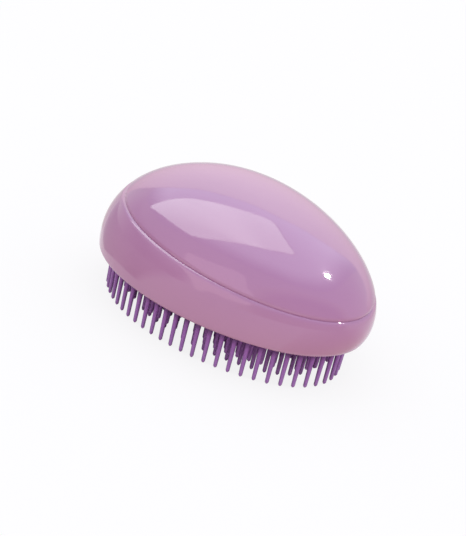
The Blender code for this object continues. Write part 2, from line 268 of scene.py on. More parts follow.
def repeatZone(tree, turns):
    start = addNode(tree, "GeometryNodeRepeatInput")
    end = addNode(tree, "GeometryNodeRepeatOutput")
    start.pair_with_output(end)
    fill(tree, start, {"Iterations": turns})
    return start, end


def keepAs(tree, geometry, name, value, kind="FLOAT"):
    inputs = {"Geometry": geometry, "Name": name, "Value": value}
    settings = {"data_type": kind, "domain": "POINT"}
    return addNode(tree, "GeometryNodeStoreNamedAttribute", inputs, **settings).outputs[0]


def readKept(tree, name, kind="FLOAT"):
    kept = addNode(tree, "GeometryNodeInputNamedAttribute", {"Name": name}, data_type=kind)
    return kept.outputs["Attribute"]


def endTree(tree, geometry, finish):
    real = addNode(tree, "GeometryNodeRealizeInstances", {0: geometry})
    painted = addNode(tree, "GeometryNodeSetMaterial", {"Geometry": real.outputs[0], "Material": finish})
    addNode(tree, "NodeGroupOutput", {0: painted.outputs[0]})


def growFrom(name, seed, tree, values, finish, sharpAngle=sharpAngles["shell"]):
    # the tree runs on a seed mesh, and its result is kept as a plain mesh
    piece = bpy.data.objects.new(name, seed)
    bpy.context.scene.collection.objects.link(piece)
    grown = piece.modifiers.new("grow", "NODES")
    grown.node_group = tree
    for item in tree.interface.items_tree:
        if item.item_type == "SOCKET" and item.in_out == "INPUT" and item.name in values:
            grown[item.identifier] = values[item.name]
    plain = bpy.data.meshes.new_from_object(piece.evaluated_get(bpy.context.evaluated_depsgraph_get()))
    piece.modifiers.remove(grown)
    piece.data = plain
    plain.name = name
    smoothed(plain, finish, sharpAngle)
    return piece


# the plastics
def newFinish(name, colour):
    finish = bpy.data.materials.new(name)
    finish.use_nodes = True
    finish.diffuse_color = colour
    tree = finish.node_tree
    return finish, tree, tree.nodes["Principled BSDF"], objectPlace(tree)


def plasticFinish(name, look):
    # moulded plastic: a clouded colour, uneven gloss and the faint waves of a mould's polish
    finish, tree, shader, place = newFinish(name, look["colour"])
    clouds = noiseAt(tree, place, look["cloudScale"], look["cloudDetail"])
    gloss = noiseAt(tree, place, look["glossScale"], look["glossDetail"])
    waves = noiseAt(tree, place, look["waveScale"], look["waveDetail"])
    bumpInputs = {"Strength": look["waveStrength"], "Distance": look["waveDepth"], "Height": waves}
    stops = list(zip(look["cloudSpan"], (look["deepColour"], look["colour"])))
    fill(tree, shader, {
        "Base Color": colourRamp(tree, clouds, stops),
        "Roughness": mapped(tree, gloss, results=look["roughness"]),
        "Normal": addNode(tree, "ShaderNodeBump", bumpInputs).outputs["Normal"],
        "IOR": look["ior"],
    })
    return finish


shellLook = {
    "colour": screenColour(177, 128, 166),
    "deepColour": screenColour(173, 124, 163),
    "cloudScale": 35.0,
    "cloudDetail": 3.0,
    "cloudSpan": (0.3, 0.7),  # where in the noise the deep colour ends and the full one begins
    "glossScale": 120.0,
    "glossDetail": 5.0,
    "roughness": (0.04, 0.09),
    "waveScale": 160.0,
    "waveDetail": 1.0,
    "waveStrength": 0.04,
    "waveDepth": 0.0002,
    "ior": 1.5,
}
innerLook = {
    **shellLook,
    "colour": screenColour(205, 198, 208),
    "deepColour": screenColour(194, 187, 198),
    "roughness": (0.4, 0.6),
    "waveScale": 900.0,
    "waveStrength": 0.2,
    "waveDepth": 0.00005,
}
shellPlastic = plasticFinish("lilacGlossPlastic", shellLook)
innerPlastic = plasticFinish("innerMouldedPlastic", innerLook)
print("finishes: shells")


# top cover: a rim that steps inside over the tongue, and a dome grown from it by Geometry Nodes
coverSizes = {
    "wall": 0.0022,
    "rimWall": 0.0014,
    "edgeHeight": 0.0012,
    "edgeInset": 0.0006,
    "tongueHeight": 0.0032,
    "fitGap": 0.00035,
    "roundSteps": 10,
}
beadSizes = {"rise": 0.0005, "width": 0.0012}
domeSizes = {
    "Half Length": eggForm["halfLength"],
    "Half Width": eggForm["halfWidth"],
    "Half Height": eggForm["halfHeight"],
    "Plan Taper": eggForm["planTaper"],
    "Profile Taper": eggForm["profileTaper"],
    "Section Power": eggForm["sectionPower"],
    "Axis Height": bodyBottom + eggForm["axisHeight"],
    "Tilt": eggForm["tilt"],
    "Pole Size": 0.000002,  # points closer than this become one
}
domeCounts = {"Rings": 60}


def domeTree(sizes, counts, finish):
    # both loops of a rim grow ring by ring to their poles, each ring set on the egg's skin by rule
    tree, given = newTree("eggDome", "Rim", sizes, counts)
    place = addNode(tree, "GeometryNodeInputPosition").outputs[0]
    kept = keepAs(tree, given["Rim"], "rim", place, "FLOAT_VECTOR")
    inset = readKept(tree, "inset")

    def spanAt(along, halfSize, taper):
        # half of the egg's size across, at a share of its length
        taperSquared = doMath(tree, "MULTIPLY", taper, taper)
        root = doMath(tree, "SQRT", doMath(tree, "MULTIPLY_ADD", taperSquared, 8.0, 1.0))
        widest = doMath(tree, "DIVIDE", restOf(tree, root), doMath(tree, "MULTIPLY", taper, 4.0))

        def bulge(share):
            flat = restOf(tree, doMath(tree, "MULTIPLY", share, share))
            lean = restOf(tree, doMath(tree, "MULTIPLY", share, taper))
            return doMath(tree, "MULTIPLY", doMath(tree, "SQRT", doMath(tree, "MAXIMUM", flat, 0.0)), lean)

        inner = doMath(tree, "SUBTRACT", halfSize, inset)
        return doMath(tree, "MULTIPLY", inner, doMath(tree, "DIVIDE", bulge(along), bulge(widest)))

    start, end = repeatZone(tree, given["Rings"])
    fill(tree, start, {"Geometry": kept})
    edgeFaces = addNode(tree, "GeometryNodeInputMeshEdgeNeighbors").outputs[0]
    isOpen = isSame(tree, edgeFaces, 1.0)
    inputs = {"Mesh": start.outputs["Geometry"], "Selection": isOpen, "Offset Scale": 0.0}
    raised = addNode(tree, "GeometryNodeExtrudeMesh", inputs, mode="EDGES")
    turn = doMath(tree, "ADD", start.outputs["Iteration"], 1.0)
    angle = doMath(tree, "MULTIPLY", doMath(tree, "DIVIDE", turn, given["Rings"]), math.pi / 2)
    share = doMath(tree, "MAXIMUM", doMath(tree, "COSINE", angle), 0.0)
    rim = addNode(tree, "ShaderNodeSeparateXYZ", {0: readKept(tree, "rim", "FLOAT_VECTOR")})
    x, y = (doMath(tree, "MULTIPLY", rim.outputs[axis], share) for axis in "XY")
    along = doMath(tree, "DIVIDE", x, doMath(tree, "SUBTRACT", given["Half Length"], inset))
    halfWidth = spanAt(along, given["Half Width"], given["Plan Taper"])
    across = doMath(tree, "DIVIDE", doMath(tree, "ABSOLUTE", y), halfWidth)
    left = restOf(tree, doMath(tree, "POWER", across, given["Section Power"]))
    rootPower = doMath(tree, "DIVIDE", 1.0, given["Section Power"])
    rise = doMath(tree, "POWER", doMath(tree, "MAXIMUM", left, 0.0), rootPower)
    z = doMath(tree, "MULTIPLY", rise, spanAt(along, given["Half Height"], given["Profile Taper"]))
    inputs = {"Geometry": raised.outputs["Mesh"], "Selection": raised.outputs["Top"]}
    shaped = addNode(tree, "GeometryNodeSetPosition", {**inputs, "Position": vectorOf(tree, x, y, z)})
    fill(tree, end, {"Geometry": shaped.outputs[0]})

    # the last ring is one point, and the egg is tilted and lifted to its place
    inputs = {"Geometry": end.outputs["Geometry"], "Distance": given["Pole Size"]}
    closed = addNode(tree, "GeometryNodeMergeByDistance", inputs).outputs[0]
    turned = vectorOf(tree, y=doMath(tree, "MULTIPLY", given["Tilt"], -1.0))
    lifted = vectorOf(tree, z=given["Axis Height"])
    inputs = {"Geometry": closed, "Translation": lifted, "Rotation": turned}
    endTree(tree, addNode(tree, "GeometryNodeTransform", inputs).outputs[0], finish)
    return tree


def beadRings(wallInset):
    # the snap bead half way up the tongue, or the groove that it springs into
    middle = (eggForm["seamGap"] + coverSizes["tongueHeight"]) / 2
    half = beadSizes["width"] / 2
    return [
        seamRing(middle - half, wallInset),
        seamRing(middle, wallInset - beadSizes["rise"]),
        seamRing(middle + half, wallInset),
    ]


def makeCover():
    # the rim runs from inside the wall, down over the step and groove, and up round the outer edge
    sizes = coverSizes
    gap, wall, rimWall = eggForm["seamGap"], sizes["wall"], sizes["rimWall"]
    stepAt = sizes["tongueHeight"] + sizes["fitGap"]
    rings = [seamRing(stepAt, wall), seamRing(stepAt, rimWall)]
    rings += [*beadRings(rimWall)[::-1], seamRing(gap, rimWall)]
    for rise, inward in reversed(roundedEdge(sizes["roundSteps"], eggForm["seamTurn"])):
        rings.append(seamRing(gap + sizes["edgeHeight"] * (1 - rise), sizes["edgeInset"] * inward))
    around = eggForm["around"]
    points = inEgg(np.concatenate(rings))
    seed = bpy.data.meshes.new("coverRim")
    seed.from_pydata([tuple(p) for p in points], [], ringBands(len(rings), around))
    insets = seed.attributes.new("inset", "FLOAT", "POINT")
    insets.data.foreach_set("value", [wall] * around + [0.0] * (len(points) - around))
    tree = domeTree(domeSizes, domeCounts, shellPlastic)
    return growFrom("domedCover", seed, tree, {**domeSizes, **domeCounts}, shellPlastic)


cover = makeCover()
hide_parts("top_cover")
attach(cover, "root")
print("cover:", len(cover.data.polygons), "faces")


# lower shell: the band with its rolled corner, seam lip, tongue, ledge and pad recess
shellSizes = {
    "lipHeight": 0.0015,
    "lipInset": 0.0006,
    "cornerRadius": 0.0015,
    "tongueWall": 0.00095,
    "recessRim": 0.0024,
    "ledgeHeight": 0.003,
    "ledgeThickness": 0.0016,
    "ledgeReach": 0.0036,
    "roundSteps": 8,
    "wallRings": 30,
    "innerRings": 10,
}


def makeLowerShell():
    sizes = shellSizes
    around = eggForm["around"]
    outline = planeRing(bodyBottom)
    tongueInset = coverSizes["rimWall"] + coverSizes["fitGap"]
    wall = tongueInset + sizes["tongueWall"]
    corner, lip = sizes["cornerRadius"], sizes["lipHeight"]
    rings = []
    for rise, inward in reversed(roundedEdge(sizes["roundSteps"])):
        rings.append(planeRing(bodyBottom + corner * (1 - rise), inset=corner * inward))
    rings += ringsBetween(rings[-1], seamRing(-lip, 0.0), sizes["wallRings"])
    for rise, inward in roundedEdge(sizes["roundSteps"], eggForm["seamTurn"]):
        rings.append(seamRing(lip * (rise - 1), sizes["lipInset"] * inward))
    rings += [seamRing(0.0, tongueInset), *beadRings(tongueInset)]
    rings += [seamRing(coverSizes["tongueHeight"], tongueInset), seamRing(coverSizes["tongueHeight"], wall)]
    ledgeTop = bodyBottom + sizes["ledgeHeight"] + sizes["ledgeThickness"]
    ledgeStart = planeRing(ledgeTop, inset=wall)
    rings += [*ringsBetween(rings[-1], ledgeStart, sizes["innerRings"], wall), ledgeStart]
    ledgeFloor = ledgeTop - sizes["ledgeThickness"]
    rim, reach = sizes["recessRim"], sizes["recessRim"] + sizes["ledgeReach"]
    for inset, height in ((reach, ledgeTop), (reach, ledgeFloor), (rim, ledgeFloor), (rim, bodyBottom)):
        rings.append(drawnIn(outline, inset, height))
    faces = ringBands(len(rings), around, closed=True)
    return meshPiece("lowerBand", np.concatenate(rings), faces, shellPlastic)


band = makeLowerShell()
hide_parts("lower_shell")
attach(band, "root")
print("lower shell:", len(band.data.polygons), "faces")


# bristle pad: a plate in the recess, with its bristles grown on it by Geometry Nodes
padSizes = {
    "recess": 0.0006,
    "edgeInset": 0.00275,  # the recess rim and its clearance
    "chamfer": 0.0005,
    "back": 0.00265,  # above the body's underside
    "bossRadius": 0.003,
    "bossSides": 32,
    "pilotRadius": 0.00145,
    "pilotFloor": 0.0007,  # above the plate's face
}
padFace = bodyBottom + padSizes["recess"]
underside = planeRing(bodyBottom)
bristleSizes = {
    "Half Length": float(np.ptp(underside[:, 0]) / 2),
    "Half Width": float(np.ptp(underside[:, 1]) / 2),
    "First Inset": 0.005,
    "Ring Pitch": 0.0037,
    "Strand Pitch": 0.0041,
    "Length": padFace,
    "Short Drop": 0.004,
    "Root Radius": 0.00085,
    "Tip Radius": 0.00058,
    "Root Flare": 0.0002,
    "Flare Power": 14.0,
    "Level Power": 2.6,  # how much closer together the levels stand towards the tip
    "Blunt Share": 0.05,  # of the radius, left at the very tip
    "Sunk": 0.0003,
}
room = bristleSizes["Half Width"] - bristleSizes["Strand Pitch"] / 2 - bristleSizes["First Inset"]
bristleCounts = {"Rings": int(room / bristleSizes["Ring Pitch"]) + 1, "Sides": 8, "Levels": 8}
bristleLook = {
    "tipColour": screenColour(160, 114, 182),
    # painted shade: the root colour is darker than the tip's, and the plate's deep colour stands in for the
    # shade between the strands
    "shadedRootColour": screenColour(147, 93, 168),
    "shadedPlateColour": screenColour(64, 22, 78),
    "rampPlaces": (0.1, 0.72, 0.95),  # tip, root and plate, as shares of the strand's length
    "specular": 0.25,
    "mottleScale": 300.0,
    "mottleDetail": 2.0,
    "mottleMiddle": 0.5,  # the noise at which the colour stays as the height gives it
    "mottleShare": 0.16,
    "roughness": (0.2, 0.34),
}


def bristleFinish(name, look):
    # satin violet plastic, paler where the tips are thin; painted shade darkens it towards the roots and
    # turns the plate deep plum, for the shade between the strands
    finish, tree, shader, place = newFinish(name, look["tipColour"])
    height = addNode(tree, "ShaderNodeSeparateXYZ", {0: place}).outputs["Z"]
    mottle = noiseAt(tree, place, look["mottleScale"], look["mottleDetail"])
    speckle = doMath(tree, "SUBTRACT", mottle, look["mottleMiddle"])
    shift = doMath(tree, "MULTIPLY", speckle, look["mottleShare"])
    level = doMath(tree, "ADD", mapped(tree, height, (0.0, bodyBottom)), shift)
    # the ramp paints shade from the tips down to the roots and onto the plate
    stops = list(zip(look["rampPlaces"], (look["tipColour"], look["shadedRootColour"], look["shadedPlateColour"])))
    fill(tree, shader, {
        "Base Color": colourRamp(tree, level, stops),
        "Roughness": mapped(tree, mottle, results=look["roughness"]),
        "Specular IOR Level": look["specular"],
    })
    return finish


bristlePlastic = bristleFinish("violetSatinPlastic", bristleLook)


def screwPlaces():
    # the middle of each screw's node, seen from above
    places = []
    for name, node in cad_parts.items():
        if name.startswith("screw"):
            corners = np.array([node.matrix_world @ Vector(corner) for corner in node.bound_box])
            places.append((corners.min(axis=0) + corners.max(axis=0)) / 2)
    return places


def circleAt(place, radius, height, sides):
    turns = np.arange(sides) * math.tau / sides
    x, y = place[0] + radius * np.cos(turns), place[1] + radius * np.sin(turns)
    return np.stack([x, y, np.full(sides, height)], axis=1)


def levelFill(points, outline, holes):
    # triangles facing up between an outline and the holes in it, all given as numbers of points
    numbers = [number for loop in (outline, *holes) for number in loop]
    starts = np.cumsum([0, len(outline), *(len(hole) for hole in holes)])
    loops = [list(range(start, end)) for start, end in zip(starts[:-1], starts[1:])]
    withinOutline, nearness = 1, 0
    flat = [Vector(points[number][:2]) for number in numbers]
    _, _, faces, corners, _, sources = delaunay_2d_cdt(flat, [], loops, withinOutline, nearness)
    kept = [face for face, source in zip(faces, sources) if source == [0]]
    return [tuple(numbers[corners[corner][0]] for corner in face) for face in kept]


def makePlate():
    sizes = padSizes
    outline = planeRing(bodyBottom)
    face, back = bodyBottom + sizes["recess"], bodyBottom + sizes["back"]
    inset = sizes["edgeInset"]
    rings = [
        drawnIn(outline, inset + sizes["chamfer"], face),
        drawnIn(outline, inset, face + sizes["chamfer"]),
        drawnIn(outline, inset, back),
    ]
    around = eggForm["around"]
    faces = ringBands(len(rings), around)
    used = len(rings) * around
    backLoop = list(range(used - around, used))

    # a boss with a pilot hole stands on the back under each screw
    bossTop = bodyBottom + shellSizes["ledgeHeight"] + shellSizes["ledgeThickness"]
    sides, feet = sizes["bossSides"], []
    for place in screwPlaces():
        steps = [
            (sizes["bossRadius"], back),
            (sizes["bossRadius"], bossTop),
            (sizes["pilotRadius"], bossTop),
            (sizes["pilotRadius"], face + sizes["pilotFloor"]),
        ]
        rings += [circleAt(place, radius, height, sides) for radius, height in steps]
        faces += ringBands(len(steps), sides, start=used)
        feet.append(list(range(used, used + sides)))
        used += len(steps) * sides
        faces.append(tuple(range(used - sides, used)))

    points = np.concatenate([*rings, [[0.0, 0.0, face]]])
    faces += [f[::-1] for f in poleFan(0, around, used)]
    faces += levelFill(points, backLoop, feet)
    return meshPiece("bristlePlate", points, faces, bristlePlastic)


def bristleTree(sizes, counts, finish):
    # rings of long and short strands, drawn in step by step from the outline that the seed holds
    tree, given = newTree("bristleRings", "Outline", sizes, counts)
    loop = addNode(tree, "GeometryNodeMeshToCurve", {"Mesh": given["Outline"]})
    index = addNode(tree, "GeometryNodeInputIndex").outputs[0]

    def insetAt(turn):
        return doMath(tree, "MULTIPLY_ADD", turn, given["Ring Pitch"], given["First Inset"])

    def ringAt(turn):
        spans = given["Half Length"], given["Half Width"]
        x, y = (restOf(tree, doMath(tree, "DIVIDE", insetAt(turn), span)) for span in spans)
        inputs = {"Geometry": loop.outputs["Curve"], "Scale": vectorOf(tree, x, y, 1.0)}
        return addNode(tree, "GeometryNodeTransform", inputs).outputs[0]

    # one turn of the zone lays one ring of points
    start, end = repeatZone(tree, given["Rings"])
    turn = start.outputs["Iteration"]
    isShort = doMath(tree, "MODULO", turn, 2.0)
    longRing = ringAt(doMath(tree, "SUBTRACT", turn, isShort))
    longLength = addNode(tree, "GeometryNodeCurveLength", {0: longRing}).outputs[0]
    strands = doMath(tree, "ROUND", doMath(tree, "DIVIDE", longLength, given["Strand Pitch"]))
    # twice the points, of which every other one stays: the short ones stand between the long ones
    inputs = {"Curve": ringAt(turn), "Count": doMath(tree, "MULTIPLY", strands, 2.0)}
    laid = addNode(tree, "GeometryNodeCurveToPoints", inputs, mode="COUNT")
    isOdd = doMath(tree, "MODULO", index, 2.0)
    inputs = {"Geometry": laid.outputs["Points"], "Selection": isSame(tree, isOdd, restOf(tree, isShort))}
    thinned = addNode(tree, "GeometryNodeDeleteGeometry", inputs, domain="POINT")
    marked = keepAs(tree, thinned.outputs[0], "short", isShort)
    gathered = addNode(tree, "GeometryNodeJoinGeometry", {0: marked})
    tree.links.new(start.outputs["Geometry"], gathered.inputs[0])
    fill(tree, end, {"Geometry": gathered.outputs[0]})

    def strand(length):
        # a line of levels, closer together at the tip, swept with a round section
        line = addNode(tree, "GeometryNodeMeshLine", {"Count": given["Levels"]})
        last = doMath(tree, "SUBTRACT", given["Levels"], 1.0)
        left = restOf(tree, doMath(tree, "DIVIDE", index, last))
        toTip = doMath(tree, "MULTIPLY", doMath(tree, "POWER", left, given["Level Power"]), length)
        depth = doMath(tree, "SUBTRACT", length, toTip)
        hung = vectorOf(tree, z=doMath(tree, "MULTIPLY", depth, -1.0))
        shaped = addNode(tree, "GeometryNodeSetPosition", {"Geometry": line.outputs[0], "Position": hung})
        stem = addNode(tree, "GeometryNodeMeshToCurve", {"Mesh": shaped.outputs[0]})
        # an even taper, a flare at the root and a domed tip
        share = doMath(tree, "DIVIDE", depth, length)
        wholeTaper = doMath(tree, "SUBTRACT", given["Root Radius"], given["Tip Radius"])
        taper = doMath(tree, "SUBTRACT", given["Root Radius"], doMath(tree, "MULTIPLY", share, wholeTaper))
        nearRoot = doMath(tree, "POWER", restOf(tree, share), given["Flare Power"])
        flared = doMath(tree, "MULTIPLY_ADD", nearRoot, given["Root Flare"], taper)
        inDome = doMath(tree, "MINIMUM", toTip, given["Tip Radius"])
        sunkTip = restOf(tree, doMath(tree, "DIVIDE", inDome, given["Tip Radius"]))
        dome = doMath(tree, "SQRT", restOf(tree, doMath(tree, "MULTIPLY", sunkTip, sunkTip)))
        radius = doMath(tree, "MULTIPLY", flared, doMath(tree, "MAXIMUM", dome, given["Blunt Share"]))
        circle = {"Resolution": given["Sides"], "Radius": 1.0}
        section = addNode(tree, "GeometryNodeCurvePrimitiveCircle", circle).outputs["Curve"]
        inputs = {"Curve": stem.outputs[0], "Profile Curve": section, "Scale": radius, "Fill Caps": True}
        return addNode(tree, "GeometryNodeCurveToMesh", inputs).outputs[0]

    wholeLength = doMath(tree, "ADD", given["Length"], given["Sunk"])
    shortLength = doMath(tree, "SUBTRACT", wholeLength, given["Short Drop"])
    inputs = {"Geometry": end.outputs["Geometry"], "Offset": vectorOf(tree, z=given["Sunk"])}
    raised = addNode(tree, "GeometryNodeSetPosition", inputs)
    fields = addNode(tree, "GeometryNodeJoinGeometry")
    for length, wanted in ((wholeLength, 0.0), (shortLength, 1.0)):
        chosen = isSame(tree, readKept(tree, "short"), wanted)
        inputs = {"Points": raised.outputs[0], "Selection": chosen, "Instance": strand(length)}
        planted = addNode(tree, "GeometryNodeInstanceOnPoints", inputs)
        tree.links.new(planted.outputs[0], fields.inputs[0])
    endTree(tree, fields.outputs[0], finish)
    return tree


plate = makePlate()
underside[:, 2] = padFace
count = len(underside)
loop = bpy.data.meshes.new("padOutline")
loop.from_pydata([tuple(p) for p in underside], [(i, (i + 1) % count) for i in range(count)], [])
rowsTree = bristleTree(bristleSizes, bristleCounts, bristlePlastic)
given = {**bristleSizes, **bristleCounts}
bristles = growFrom("bristleField", loop, rowsTree, given, bristlePlastic, sharpAngles["bristle"])
for piece in (plate, bristles):
    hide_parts("bristle_pad")
    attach(piece, "root")
print("bristles:", bristleCounts["Rings"], "rings,", len(bristles.data.polygons), "faces")


# inside: the retainer and its screws keep their CAD shapes
def screwFinish(name, look):
    # zinc on steel, with a fine grain in its colour and gloss
    finish, tree, shader, place = newFinish(name, look["colour"])
    grain = noiseAt(tree, place, look["grainScale"], look["grainDetail"])
    fill(tree, shader, {
        "Base Color": colourRamp(tree, grain, [(0.0, look["deepColour"]), (1.0, look["colour"])]),
        "Roughness": mapped(tree, grain, results=look["roughness"]),
        "Metallic": 1.0,
    })
    return finish


screwLook = {
    "colour": screenColour(205, 206, 212),
    "deepColour": screenColour(172, 174, 182),
    "grainScale": 1800.0,
    "grainDetail": 4.0,
    "roughness": (0.25, 0.42),
}
zincSteel = screwFinish("zincPlatedSteel", screwLook)
for name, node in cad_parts.items():
    if name == "pad_retainer" or name.startswith("screw"):
        for materialSlot in node.material_slots:
            materialSlot.material = innerPlastic if name == "pad_retainer" else zincSteel
print("inside: retainer and screws finished")


# camera at the photograph's view
viewpoint = {
    "azimuth": math.radians(46.0),
    "elevation": math.radians(22.72),
    "roll": math.radians(14.098),
    "distance": 0.4096,
    "focalPixels": 1264.6,
    "imageSize": (466, 536),
    "sensorHeight": 24.0,  # millimetres
    "clips": (0.01, 50.0),
    "targetPixel": (235.58, 284.23),
}


def placeCamera(view):
    target = Vector((0.0, 0.0, bodyBottom))
    azimuth, elevation, roll = view["azimuth"], view["elevation"], view["roll"]
    level = Vector((math.cos(azimuth), math.sin(azimuth), 0.0))
    behind = Vector((math.sin(azimuth), -math.cos(azimuth), 0.0))
    back = behind * math.cos(elevation) + Vector((0.0, 0.0, math.sin(elevation)))
    plumb = back.cross(level)
    right = level * math.cos(roll) + plumb * math.sin(roll)
    up = plumb * math.cos(roll) - level * math.sin(roll)
    turned = Matrix((right, up, back)).transposed().to_4x4()
    data = bpy.data.cameras.new("photoCamera")
    camera = bpy.data.objects.new("photoCamera", data)
    bpy.context.scene.collection.objects.link(camera)
    camera.matrix_world = Matrix.Translation(target + back * view["distance"]) @ turned
    width, height = view["imageSize"]
    data.sensor_fit = "VERTICAL"
    data.sensor_height = view["sensorHeight"]
    data.lens = view["focalPixels"] / height * data.sensor_height
    data.shift_x = (width / 2 - view["targetPixel"][0]) / height
    data.shift_y = (view["targetPixel"][1] - height / 2) / height
    data.clip_start, data.clip_end = view["clips"]
    bpy.context.scene.camera = camera


placeCamera(viewpoint)
print("camera placed")


# studio: pale floor, white surroundings and soft panels
studio = {
    "floorSize": 12.0,
    "floorColour": screenColour(248, 246, 244),
    "bounceColour": screenColour(255, 247, 218),  # what the floor sends back up
    "bounceGlow": 0.5,  # share of that colour sent back as glow, untouched by the comb's real shadow; a painted shadow under the comb fades it out
    "paintedShadowSpan": (0.03, 0.075),  # distances from the comb's middle over which a painted shadow on that light and on the mirrored white fades out
    "floorGlow": 0.84,  # share of the floor that camera and mirror rays see as plain white
    "skyLevel": 1.22,
    "skyColour": screenColour(234, 237, 255),
    "horizonColour": screenColour(243, 232, 230),
    "skyTop": 0.8,  # the height, from 0 to 1, at which the horizon's colour has gone
    "centre": (0.0, 0.0, 0.0256),
    "cardRings": 16,
    "cardEdgeSteps": 4,
}


def ovalCorners(middle, long, wide, count=20):
    turns = np.arange(count) * math.tau / count
    return np.array(middle) + np.outer(np.cos(turns), long) + np.outer(np.sin(turns), wide)


# corners are bearings and elevations in degrees, seen from the comb, joined by a smooth line;
# levels run from the lowest corner up, and softEdge is the outer share over which a card fades into the white
cards = {
    "overheadPanel": {
        "corners": [(-165.0, 28.5), (-170.4, 33.6), (177.9, 42.4), (166.5, 49.3), (153.2, 52.9),
                    (140.0, 53.0), (129.7, 51.4), (126.0, 52.5), (119.2, 58.7), (112.2, 62.5),
                    (103.8, 66.0), (109.5, 72.4), (121.6, 77.5), (146.6, 80.7), (-175.6, 80.1),
                    (-150.9, 76.1), (-139.0, 70.4), (-133.7, 64.0), (-131.0, 57.2), (-131.8, 51.6),
                    (-135.2, 47.9), (-147.6, 41.3), (-160.7, 32.2)],
        "middle": (180, 58),
        "distance": 1.5,
        "levels": (4.4, 5.7),
        "softEdge": 0.03,
        "lowColour": screenColour(242, 251, 251),
        "highColour": screenColour(250, 254, 250),
        "sideStops": [(-180, 1.07), (-160, 1.0), (-145, 0.88), (-130, 0.92), (120, 0.82), (140, 0.86),
                      (165, 1.02)],
    },
    "backPanel": {
        "corners": [(84, -1), (83, 8), (91, 10), (98, 11.4), (103.4, 16.6), (105.3, 20.2), (106.3, 26),
                    (108.6, 32.9), (113.5, 38), (119.6, 41.2), (127.1, 44.4), (138, 45.3), (149.7, 44.5),
                    (157.8, 41.1), (165.9, 36.7), (171.8, 29.1), (173.2, 20), (171, 9.8), (170, 4),
                    (169.5, -1)],
        "middle": (138, 12),
        "distance": 2.0,
        "levels": (0.9, 2.8),
        "softEdge": 0.02,
        "lowColour": screenColour(255, 233, 232),
        "highColour": screenColour(252, 251, 244),
        "sideStops": [(70, 0.6), (90, 0.95), (110, 0.9), (130, 0.98), (150, 0.99), (173, 1.05)],
    },
    "upperPanel": {
        "corners": [(111, 0), (104, 15), (94, 32), (72, 49), (48, 60), (5, 71), (-40, 74), (-85, 68),
                    (-118, 55), (-140, 40), (-160, 30), (167, 14), (160, -5), (140, -8), (110, -5)],
        "middle": (140, 50),
        "distance": 2.6,
        "levels": (2.4, 2.9),
        "softEdge": 0.35,
        "lowColour": screenColour(236, 240, 255),
        "highColour": screenColour(236, 240, 255),
    },
    "frontPanel": {
        "corners": [(-114.8, 34.1), (-110, 39.5), (-103.2, 43.6), (-93.8, 49.3), (-88.1, 52.8), (-79, 54),
                    (-74.5, 48.5), (-70.7, 39.6), (-64.5, 31), (-65.2, 13.2), (-75, 7), (-85, 5.9),
                    (-90.3, 3.1), (-94.6, -3), (-99.3, 8), (-104, 14)],
        "middle": (-88, 25),
        "distance": 1.5,
        "levels": (2.1, 2.0),
        "softEdge": 0.03,
        "lowColour": screenColour(255, 236, 236),
        "highColour": screenColour(255, 240, 240),
    },
    "rightShade": {
        "corners": [(-68, -8), (35, -8), (48, 35), (25, 60), (-45, 62), (-66, 42)],
        "middle": (-15, 22),
        "distance": 2.2,
        "levels": (0.4, 0.3),
        "softEdge": 0.3,
        "lowColour": screenColour(255, 250, 225),
        "highColour": screenColour(255, 250, 230),
    },
    "lamp": {
        "corners": ovalCorners((83.6, 53.1), (-2.6, 2.2), (1.3, 0.52)),
        "middle": (83.6, 53.1),
        "distance": 1.5,
        "levels": (800.0, 800.0),
        "softEdge": 0.3,
        "lowColour": screenColour(255, 254, 250),
        "highColour": screenColour(255, 254, 250),
    },
}
# sheets lie near the comb and stand up further off; shares of plain white are given by bearing
sheets = {
    "darkSide": {
        "nearPoints": [(-0.0916, -0.0214), (-0.0737, -0.0285), (-0.062, -0.0344), (-0.0544, -0.0496),
                       (-0.0441, -0.058), (-0.0338, -0.0603), (-0.0246, -0.061), (-0.0158, -0.0595),
                       (0.0, -0.0575), (0.015, -0.054)],
        "bearings": [168.9, 172.1, 177.6, -163.0, -150.2, -142.6, -135.8, -130.3, -118.0, -100.0],
        "reach": 1.8,
        "height": 0.85,
        "level": 0.08,
        "colour": screenColour(240, 225, 250),
        "floorStops": [(-180, 0.5), (-145, 0.5), (-130, 0.3), (-118, 0.2), (-104, 1.0), (163, 1.0),
                       (177, 0.55)],
        "wallStops": [(-180, 1.0), (-165, 0.75), (-150, 0.45), (-130, 0.05), (-107, 0.0), (-99, 1.0),
                      (175, 1.0)],
        "wallFrom": 1,  # the near point at which the wall begins
        "fadeHeights": (0.2, 0.85),
        "wallLightsMatte": True,
    },
    # painted shade: a grey sheet lying close round the comb's right end and back, seen only in reflections,
    # stands in for the comb's shade on the floor there
    "contactShadeSheet": {
        "nearPoints": [(0.048, -0.0205), (0.0525, 0.0), (0.046, 0.03), (0.033, 0.06), (0.0, 0.075),
                       (-0.0375, 0.065), (-0.065, 0.0375), (-0.085, -0.019)],
        "bearings": [-20.0, 5.0, 30.0, 60.0, 90.0, 120.0, 150.0, 168.0],
        "reach": 1.9,
        "height": 0.01,
        "level": 0.45,
        "colour": screenColour(255, 238, 232),
        "floorStops": [(-60, 1.0), (-5, 0.7), (20, 0.0), (35, 0.15), (44, 0.6), (54, 1.0), (64, 1.0),
                       (80, 0.7), (180, 0.7)],
        "wallStops": [(-60, 1.0), (-10, 0.7), (180, 0.7)],
        "wallFrom": 0,
        "fadeHeights": (1.0, 2.0),
        "wallLightsMatte": False,
    },
}
sheetLift = 0.0005
sheetMiddle = (-0.015, -0.034, 0.0)  # bearings on the sheets are taken from here
plainWhite = (1.0, 1.0, 1.0, 1.0)
firstColour, secondColour, mixedColour = 6, 7, 2  # a Mix node's numbers for its colour sockets


